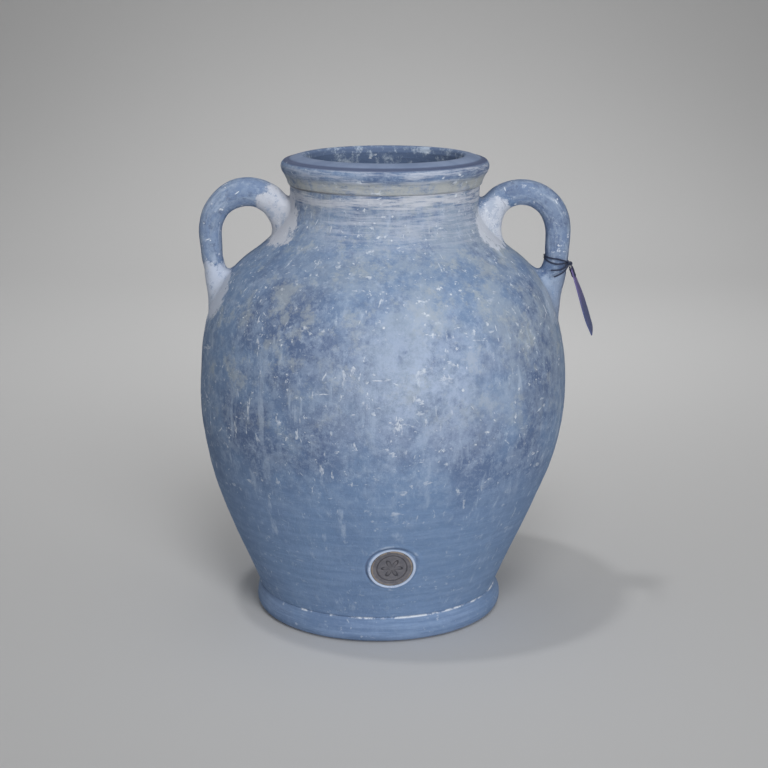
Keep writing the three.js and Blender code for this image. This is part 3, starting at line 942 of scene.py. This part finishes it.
def dent_for_seal(shape):
    """Presses the wall in where the seal sits, under the seal's lip."""
    to_seal = SEAL_UPRIGHT.inverted()
    near = []
    for face in shape.faces:
        local = to_seal @ face.calc_center_median()
        if local.z > -7 * MM and hypot(local.x, local.y) < 32 * MM:
            near += face.edges
    bmesh.ops.subdivide_edges(shape, edges=list(set(near)), cuts=2, use_grid_fill=True)
    for vert in shape.verts:
        local = to_seal @ vert.co
        distance = hypot(local.x, local.y)
        if distance < 25 * MM and local.z > -7 * MM:
            local.z = mix(-5 * MM, local.z, smooth_step(22 * MM, 25 * MM, distance))
            vert.co = SEAL_UPRIGHT @ local


def lay_out_flat(shape):
    """A UV map in metres: round the jar, and up it. Its join is at the back."""
    layer = shape.loops.layers.uv.new("flat")
    for face in shape.faces:
        middle = face.calc_center_median()
        centre = atan2(middle.x, -middle.y)
        for loop in face.loops:
            angle = atan2(loop.vert.co.x, -loop.vert.co.y)
            if angle - centre > pi:
                angle -= 2 * pi
            if centre - angle > pi:
                angle += 2 * pi
            loop[layer].uv = (angle * MEAN_RADIUS, loop.vert.co.z * WALL_STRETCH)


def make_body():
    """The thrown shell, from the foot ring to the collar, hollow and open at the neck."""
    outside = evenly(WALL_LINE, 2.4 * MM)
    inner_line = [p for p in offset_line(-WALL) if p.z > 40 * MM][::-1]
    floor = 17 * MM
    corner = inner_line[-1].x
    inside = [
        at(NECK_RADIUS - WALL, NECK_TOP),
        *inner_line[::4],
        at(corner - 14 * MM, floor + 6 * MM),
        at(corner - 32 * MM, floor),
        at(0, floor),
    ]
    base = 4 * MM
    in_ring = FOOT_INNER_RADIUS - 0.3 * MM
    under = [
        at(0, base),
        at(in_ring, base),
        at(in_ring, FOOT_HEIGHT),
        at(95 * MM, FOOT_HEIGHT + 0.3 * MM),
    ]
    shape = spun(evenly(under, 8 * MM) + outside + evenly(inside, 7 * MM), ROUND, closed=False)
    wobble(shape, 1, keep_below=FOOT_HEIGHT - 1 * MM)
    for vert in shape.verts:
        z = vert.co.z
        full = smooth_step(100 * MM, 160 * MM, z) * smooth_step(270 * MM, 215 * MM, z)
        vert.co.x += 1.6 * MM * full
    surface = BVHTree.FromBMesh(shape)
    dent_for_seal(shape)
    lay_out_flat(shape)
    move(shape, LEAN_MATRIX)
    finish_mesh(shape, "body", body_slip(), "jar", "vessel_body")
    return surface


def make_collar():
    """The heavy collar: each row is a radius and a height from the jar's top, in millimetres."""
    rows = [
        (81.6, -24.7),
        (82.6, -23.3),
        (83.5, -20.3),
        (85.2, -16.8),
        (87.2, -13.4),
        (88.4, -10),
        (88.2, -7),
        (86.4, -4.5),
        (84.4, -3.5),
        (82.6, -3.3),
        (78, -1.5),
        (73, -0.3),
        (69.6, 0),
        (67.4, -0.9),
        (66.5, -3.4),
        (66.7, -9),
    ]
    outside = [*profile(rows, HEIGHT), at(NECK_RADIUS - WALL, NECK_TOP + 0.2 * MM)]
    shape = spun(smooth_line(outside, 4), ROUND)
    wobble(shape, 0.9)
    move(shape, LEAN_MATRIX)
    finish_mesh(shape, "collar", collar_slip(), "jar", "rim_collar")


make_foot()
WALL_SURFACE = make_body()
make_collar()

# ---- seal and its lip


def sheet_tube(columns, rows, place, flat_size):
    """A tube made from a grid: place(round, along) gives each point, both from 0 to 1."""
    shape = bmesh.new()
    shape.loops.layers.uv.new("flat")
    bmesh.ops.create_grid(shape, x_segments=columns, y_segments=rows, size=1, calc_uvs=True)
    layer = shape.loops.layers.uv.active
    for face in shape.faces:
        for loop in face.loops:
            loop[layer].uv = (loop[layer].uv.x * flat_size[0], loop[layer].uv.y * flat_size[1])
    for vert in shape.verts:
        vert.co = place((vert.co.x + 1) / 2, (vert.co.y + 1) / 2)
    bmesh.ops.remove_doubles(shape, verts=shape.verts, dist=0.01 * MM)
    return shape


def close_ends(shape):
    rims = [edge for edge in shape.edges if edge.is_boundary]
    bmesh.ops.holes_fill(shape, edges=rims, sides=0)
    bmesh.ops.recalc_face_normals(shape, faces=shape.faces)


def wall_level(x, y):
    """How far the wall stands in front of the seal's plane, at a place on that plane."""
    start = SEAL_UPRIGHT @ Vector((x, y, 20 * MM))
    towards = SEAL_UPRIGHT.to_3x3() @ Vector((0, 0, -1))
    hit = WALL_SURFACE.ray_cast(start, towards)[0]
    return (SEAL_UPRIGHT.inverted() @ hit).z


def make_seal_lip():
    """The lip that the seal pushed up, its groove, and the bank that runs out into the wall."""
    # Radius and level in millimetres, and how much the level follows the wall.
    section = [
        (17.5, -3.4, 0),
        (17.5, -0.8, 0),
        (17.8, 0.25, 0),
        (18.5, 0.6, 0.02),
        (19.4, 0.45, 0.12),
        (20.4, -0.2, 0.4),
        (21.4, -0.75, 0.8),
        (22.4, -0.3, 0.95),
        (23.6, 0.15, 1),
        (25.4, 0.1, 1),
        (27.6, -0.2, 1),
        (27.9, -1.6, 1),
        (24.0, -4.0, 0.5),
        (17.5, -3.4, 0),
    ]
    line = smooth_line([Vector(row) for row in section], 4)

    def place(around, along):
        radius, level, follow = line[round(along * (len(line) - 1))]
        angle = 2 * pi * around
        x, y = radius * MM * cos(angle), radius * MM * sin(angle)
        uneven = noise.noise(Vector((x, y, 0)) * 160 + Vector((4, 4, 4))) * 0.25
        raised = (level + uneven * smooth_step(17.6, 19, radius)) * MM
        if follow > 0:
            raised += min(max(follow, 0), 1) * wall_level(x, y)
        return SEAL_PLACE @ Vector((x, y, raised))

    shape = sheet_tube(120, len(line) - 1, place, (0.13, 0.04))
    bmesh.ops.recalc_face_normals(shape, faces=shape.faces)
    finish_mesh(shape, "seal_lip", lip_slip(), "jar", "seal_bezel")


def cut_depth(radius, angle):
    """How deep the seal's pattern is cut at a place, from 0 to 1: a ring, and six petals."""
    ring = exp(-(((radius - 12.4) / 0.5) ** 2))
    petal = 9.4 * abs(cos(3 * angle)) ** 0.9
    inside = smooth_step(petal + 0.3, petal - 0.5, radius) * smooth_step(1.2, 2.0, radius)
    vein = smooth_step(petal - 1.5, petal - 2.3, radius)
    return max(ring, inside * (1 - vein * 0.8))


def make_seal():
    """The pressed disc: a low rim, an engraved ring and a small six-petalled rosette."""
    rows = 60

    def place(around, along):
        radius = SEAL_RADIUS / MM * min(along * 1.1, 1)
        angle = 2 * pi * around
        rim = smooth_step(14.9, 15.6, radius) - 1.3 * smooth_step(16.7, 17.25, radius)
        worn = noise.noise(Vector((radius * cos(angle), radius * sin(angle), 0.3)) * 0.24) * 0.12
        top = 0.35 * rim - 0.5 * cut_depth(radius, angle) + worn
        top = -SEAL_SUNK + top * MM if along < 0.95 else -SEAL_SUNK - SEAL_THICKNESS
        return Vector((radius * cos(angle) * MM, radius * sin(angle) * MM, top))

    shape = sheet_tube(180, rows, place, (0.1, 0.02))
    close_ends(shape)
    layer = shape.verts.layers.float.new("cut_in")
    for vert in shape.verts:
        radius = hypot(vert.co.x, vert.co.y) / MM
        vert[layer] = cut_depth(radius, atan2(vert.co.y, vert.co.x)) if vert.co.z > -2 * MM else 0
    move(shape, SEAL_PLACE)
    finish_mesh(shape, "seal", seal_metal(), "jar", "seal_disc")


make_seal_lip()
make_seal()

# ---- handles and their luting


def make_handle(side, turn, coil, square):
    """A pulled coil, with the unevenness that pulling leaves."""
    placed = LEAN_MATRIX @ Matrix.Rotation(turn, 4, "Z")

    def place(around, along):
        return placed @ coil_point(coil, square, along, 2 * pi * around)

    shape = sheet_tube(56, 100, place, (0.07, 0.13))
    close_ends(shape)
    slip = handle_slip(f"{side}_handle_slip")
    finish_mesh(shape, f"{side}_handle", slip, "jar", f"handle_{side}")


SEAM = 0.86  # the share of a luting's sheet that is seen: there it meets the wall


def make_luting(name, node, turn, coil, square, at_end, spread, material):
    """Clay that spreads from a coil's end over the wall: a smooth fillet all round the coil.

    spread gives, in millimetres: the height of its middle on the wall, half its width, its reach
    towards the coil's hollow side and its other side, how far up the coil it starts on each of those
    sides, and how strongly it follows the coil and the wall.
    """
    middle, half_side, reach_hollow, reach_back, start_hollow, start_back, coil_pull, wall_pull = [
        v * MM for v in spread
    ]
    placed = LEAN_MATRIX @ Matrix.Rotation(turn, 4, "Z")
    away = 1 if at_end else -1

    def place(around, along):
        angle = 2 * pi * around
        hollow = (1 - cos(angle)) / 2
        lift = mix(start_back, start_hollow, hollow**1.5)
        share = 1 - lift / HANDLE_LINE.length if at_end else lift / HANDLE_LINE.length
        cover = 0.25 * MM * smooth_step(0, 0.1, along)
        start = coil_point(coil, square, share, angle, cover)
        towards = HANDLE_LINE.along(share) * away
        up = -cos(angle) * away
        reach = reach_hollow if cos(angle) < 0 else reach_back
        sideways = -sin(angle)
        # Past the seam the sheet runs on to the footprint's middle, just under the wall's skin.
        under = max(along - SEAM, 0) / (1 - SEAM)
        z = middle + up * reach * (1 - under)
        azimuth = sideways * half_side * (1 - under) / radius_at(z)
        end = wall_place(azimuth, z, -0.7 * MM - 2.5 * MM * under)
        if under > 0:
            return placed @ end
        side_way, up_way = wall_directions(azimuth, z)
        outward = (side_way * sideways * half_side + up_way * up * reach).normalized()
        first = start + towards * (coil_pull + lift * 0.55)
        second = end - outward * wall_pull
        t = along / SEAM
        point = start * (1 - t) ** 3 + first * 3 * t * (1 - t) ** 2
        point += second * 3 * t * t * (1 - t) + end * t**3
        uneven = noise.noise(point * 60 + Vector((1, 5, 2))) * 1.1 * MM * t * (1 - t) * 4
        point += Vector((point.x, point.y, 0)).normalized() * uneven
        return placed @ point

    shape = sheet_tube(80, 48, place, (0.09, 0.05))
    close_ends(shape)
    finish_mesh(shape, name, material, "jar", node)


def make_handles():
    """Both handles, on one middle line, each with its luting on the neck and on the shoulder."""
    neck = NECK_TOP / MM - 21
    shoulder = SHOULDER_HEIGHT / MM - 32
    spreads = {
        "right": [(neck, 24, 34, 16, 16, 2, 8, 15), (shoulder, 22, 27, 34, 13, 3, 9, 15)],
        "left": [(neck, 22, 28, 16, 10, 2, 8, 13), (shoulder, 22, 27, 28, 12, 3, 9, 14)],
    }
    for side, turn in (("right", 0), ("left", pi)):
        coil, square = (RIGHT_COIL, RIGHT_SQUARE) if side == "right" else (LEFT_COIL, LEFT_SQUARE)
        make_handle(side, turn, coil, square)
        slip = luting_slip(f"{side}_luting_slip")
        for end, place in enumerate(("neck", "shoulder")):
            name = f"{side}_{place}_luting"
            spread = spreads[side][end]
            make_luting(name, f"handle_{name}", turn, coil, square, end == 1, spread, slip)


make_handles()

# ---- tag

TAG_PLACE = (
    LEAN_MATRIX
    @ Matrix.Translation(KNOT_CENTRE)
    @ Matrix.Rotation(-TAG_LEAN, 4, "Y")
    @ Matrix.Rotation(-TAG_TWIST, 4, "Z")
)
CARD_THICKNESS = 1 * MM
CARD_EDGE = 0.12 * MM  # how far its edges are rounded
HOLE_RADIUS = 2.3 * MM


def make_strand():
    """The loop of string from the knot through the card's hole, as (side, down) in millimetres."""
    half = [(0.8, 2.4), (1.3, 4.8), (1.25, 9.3), (1.25, 11.2), (0.85, 12.1)]
    route = [*half, (0, 12.45), *[(-side, down) for side, down in reversed(half)]]
    points = [TAG_PLACE @ Vector((side * MM, 0, -down * MM)) for side, down in route]
    upright = LEAN_MATRIX.inverted()
    line = [upright @ place for place in smooth_line(points, 6)]
    strand = string_curve("tag_loop", line, STRING, "strand", "tag_strand")


def make_card():
    """A stiff card that widens down most of its length, with a punched hole and a slight bow."""
    half_width, length, taper, half_top = 26 * MM, 55 * MM, 44 * MM, 6.5 * MM
    data = bpy.data.curves.new("tag_card_outline", "CURVE")
    data.dimensions = "2D"
    data.fill_mode = "BOTH"
    data.extrude = CARD_THICKNESS / 2 - CARD_EDGE
    data.bevel_depth = CARD_EDGE
    data.bevel_resolution = 2
    steps = [2 * pi * i / 32 for i in range(32)]
    hole = [(HOLE_RADIUS * cos(step), HOLE_RADIUS * sin(step) - HOLE_DROP) for step in steps]
    outline_points = [
        (-half_top, 0),
        (-half_width, -taper),
        (-half_width, -length),
        (half_width, -length),
        (half_width, -taper),
        (half_top, 0),
    ]
    for points in (outline_points, hole):
        spline = data.splines.new("POLY")
        spline.points.add(len(points) - 1)
        for knot, (x, y) in zip(spline.points, points):
            knot.co = (x, y, 0, 1)
        spline.use_cyclic_u = True
    flat = add_object("tag_card_outline", data)
    shape = bmesh.new()
    shape.from_mesh(flat.to_mesh())
    flat.to_mesh_clear()
    bpy.data.objects.remove(flat)
    bmesh.ops.remove_doubles(shape, verts=shape.verts, dist=0.005 * MM)
    bmesh.ops.triangulate(shape, faces=[face for face in shape.faces if len(face.verts) > 4])
    long_edges = [edge for edge in shape.edges if edge.calc_length() > 5 * MM]
    bmesh.ops.subdivide_edges(shape, edges=long_edges, cuts=7, use_grid_fill=True)
    bmesh.ops.recalc_face_normals(shape, faces=shape.faces)
    stand = Matrix.Rotation(pi / 2, 4, "Z") @ Matrix.Rotation(pi / 2, 4, "X")
    move(shape, stand)
    for vert in shape.verts:
        bow = (vert.co.y / half_width) ** 2 * smooth_step(-10 * MM, -40 * MM, vert.co.z)
        vert.co.x -= bow * 0.9 * MM
        vert.co.x += 1.3 * MM * vert.co.y / half_width * sin(pi * -vert.co.z / length)
    placed = TAG_PLACE @ Matrix.Translation((0, 0, -CARD_DROP))
    move(shape, placed)
    finish_mesh(shape, "card", card_stock(), "tag", "tag_card", smooth=False)


make_strand()
make_card()

# ---- floor and light

WORLD_STRENGTH = 0.3
KEY_POWER = 29
LAMP_POWER = 34
FRONT_POWER = 80
WASH_POWER = 130
SWEEP_FRONT = -4.0  # where the paper starts, towards the camera
SWEEP_FLAT = 5.6  # how much of it lies flat
SWEEP_BEND = 1.0  # the radius of its curve
SWEEP_LENGTH = 10
SWEEP_WIDTH = 10


def make_floor():
    """A sweep of pale paper: flat under the jar, and curved up well behind it."""
    shape = bmesh.new()
    bmesh.ops.create_grid(shape, x_segments=2, y_segments=120, size=1)
    for vert in shape.verts:
        travel = (vert.co.y + 1) / 2 * SWEEP_LENGTH
        turn = min(max((travel - SWEEP_FLAT) / SWEEP_BEND, 0), pi / 2)
        rise = max(travel - SWEEP_FLAT - SWEEP_BEND * pi / 2, 0)
        y = SWEEP_FRONT + min(travel, SWEEP_FLAT) + SWEEP_BEND * sin(turn)
        vert.co = (vert.co.x * SWEEP_WIDTH / 2, y, SWEEP_BEND * (1 - cos(turn)) + rise)
    n = Nodes("floor_paper", 0.95)
    paper = n.blend(n.noise(900, 3, 0.6), shade(203, 203, 203), shade(206, 206, 206))
    mesh_object(shape, "floor", n.finish(paper))


def make_light_source(name, kind, place, aim, size, power, spread=0):
    data = bpy.data.lights.new(name, kind)
    data.energy = power
    if kind == "AREA":
        data.shape = "DISK"
        data.size = size
    else:
        data.shadow_soft_size = size
        data.spot_size = radians(spread)
        data.spot_blend = 1
    light = add_object(name, data)
    light.location = place
    light.rotation_euler = (Vector(aim) - Vector(place)).to_track_quat("-Z", "Y").to_euler()


def make_light():
    """A soft key low on the right, a small high lamp, a front light, and a wash on the paper."""
    world = bpy.data.worlds.new("studio")
    world.use_nodes = True
    background = world.node_tree.nodes["Background"]
    background.inputs["Color"].default_value = (1, 1, 1, 1)
    background.inputs["Strength"].default_value = WORLD_STRENGTH
    bpy.context.scene.world = world
    make_light_source("key", "AREA", (0.8, -2.4, 0.75), (0, 0, 0.2), 1.1, KEY_POWER)
    make_light_source("lamp", "SPOT", (-0.5, -0.3, 2.6), (0.05, 0.25, 0), 0.10, LAMP_POWER, 50)
    make_light_source("front", "SPOT", (0.15, -1.9, 2.2), (0, 0.5, 0), 0.4, FRONT_POWER, 42)
    make_light_source("wash", "SPOT", (0, 0.9, 2.6), (0, 1.5, 0.1), 0.5, WASH_POWER, 62)
    bpy.context.scene.view_settings.view_transform = "Standard"


make_floor()
make_light()
